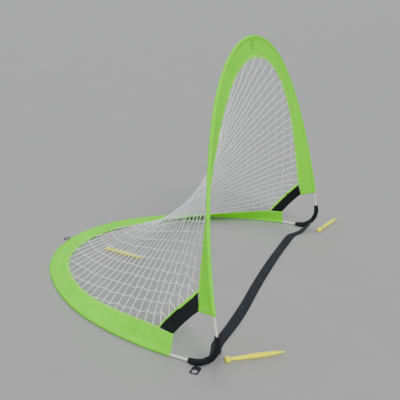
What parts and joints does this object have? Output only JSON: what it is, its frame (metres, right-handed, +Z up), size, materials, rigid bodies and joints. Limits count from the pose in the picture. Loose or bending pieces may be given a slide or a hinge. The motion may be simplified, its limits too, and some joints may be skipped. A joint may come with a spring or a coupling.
{
  "type": "pop up goal",
  "caption": "Pop-up ball goal: a standing arch and a ground arch of sprung rod in fabric bands, flexing at the corners, with a diamond net between them, a ground strap and loose pegs",
  "frame": {"origin": "on the ground, under the middle of the ground strap", "axes": "+X along the goal line to the right as seen from the back of the net, +Y to the back of the goal, +Z up"},
  "size_m": [1.4223, 1.1883, 0.9408],
  "materials": {
    "glass_fibre_rod": "smooth pultruded glass fibre with a clear resin skin",
    "crimped_steel": "drawn tube, lightly scratched",
    "lime_fabric": "plain-weave polyester with a slight sheen",
    "lime_binding": "ribbed binding tape, stitched",
    "net_twine": "knotted twine, matte",
    "black_fabric": "coated plain weave, slightly creased",
    "hose_rubber": "flexible elbow hose, matte",
    "strap_webbing": "flat polypropylene webbing, ribbed across",
    "peg_plastic": "moulded, faint parting line"
  },
  "bodies": {
    "base": {"back_peg_tab": "strap_webbing", "base_band": "lime_fabric", "base_net_tape": "lime_binding", "base_rod_channel": "lime_fabric", "base_rod_ferrule": "crimped_steel", "base_rod_left": "glass_fibre_rod", "base_rod_right": "glass_fibre_rod", "ground_strap": "strap_webbing", "left_corner_hose": "hose_rubber", "left_corner_sleeve": "black_fabric", "left_gusset": "black_fabric", "left_gusset_binding": "lime_binding", "left_peg_tab": "strap_webbing", "net": "net_twine", "right_corner_hose": "hose_rubber", "right_corner_sleeve": "black_fabric", "right_gusset": "black_fabric", "right_gusset_binding": "lime_binding", "right_peg_tab": "strap_webbing"},
    "upright": {"upright_rod_left": "glass_fibre_rod", "upright_rod_right": "glass_fibre_rod", "upright_rod_ferrule": "crimped_steel", "upright_rod_channel": "lime_fabric", "upright_band": "lime_fabric", "upright_net_tape": "lime_binding"},
    "left_peg": {"left_peg": "peg_plastic"},
    "right_peg": {"right_peg": "peg_plastic"},
    "back_peg": {"back_peg": "peg_plastic"}
  },
  "joints": [
    {"name": "arch_fold", "type": "hinge", "parent": "base", "child": "upright", "pos_m": [0, -0.041, 0.0486], "axis": [-1, 0, 0], "range_deg": [0, 78], "stiffness_Nm_per_rad": 3, "springref_deg": -17.19, "deforming": ["net", "left_gusset", "right_gusset", "left_gusset_binding", "right_gusset_binding", "left_corner_hose", "right_corner_hose", "left_corner_sleeve", "right_corner_sleeve", "upright_band", "upright_net_tape", "base_band", "base_net_tape"]},
    {"name": "left_peg_lift", "type": "slide", "parent": "base", "child": "left_peg", "axis": [0, 0, 1], "range_m": [0, 0.25]},
    {"name": "right_peg_lift", "type": "slide", "parent": "base", "child": "right_peg", "axis": [0, 0, 1], "range_m": [0, 0.25]},
    {"name": "back_peg_draw", "type": "slide", "parent": "base", "child": "back_peg", "axis": [0, -1, 0], "range_m": [0, 0.35]}
  ]
}
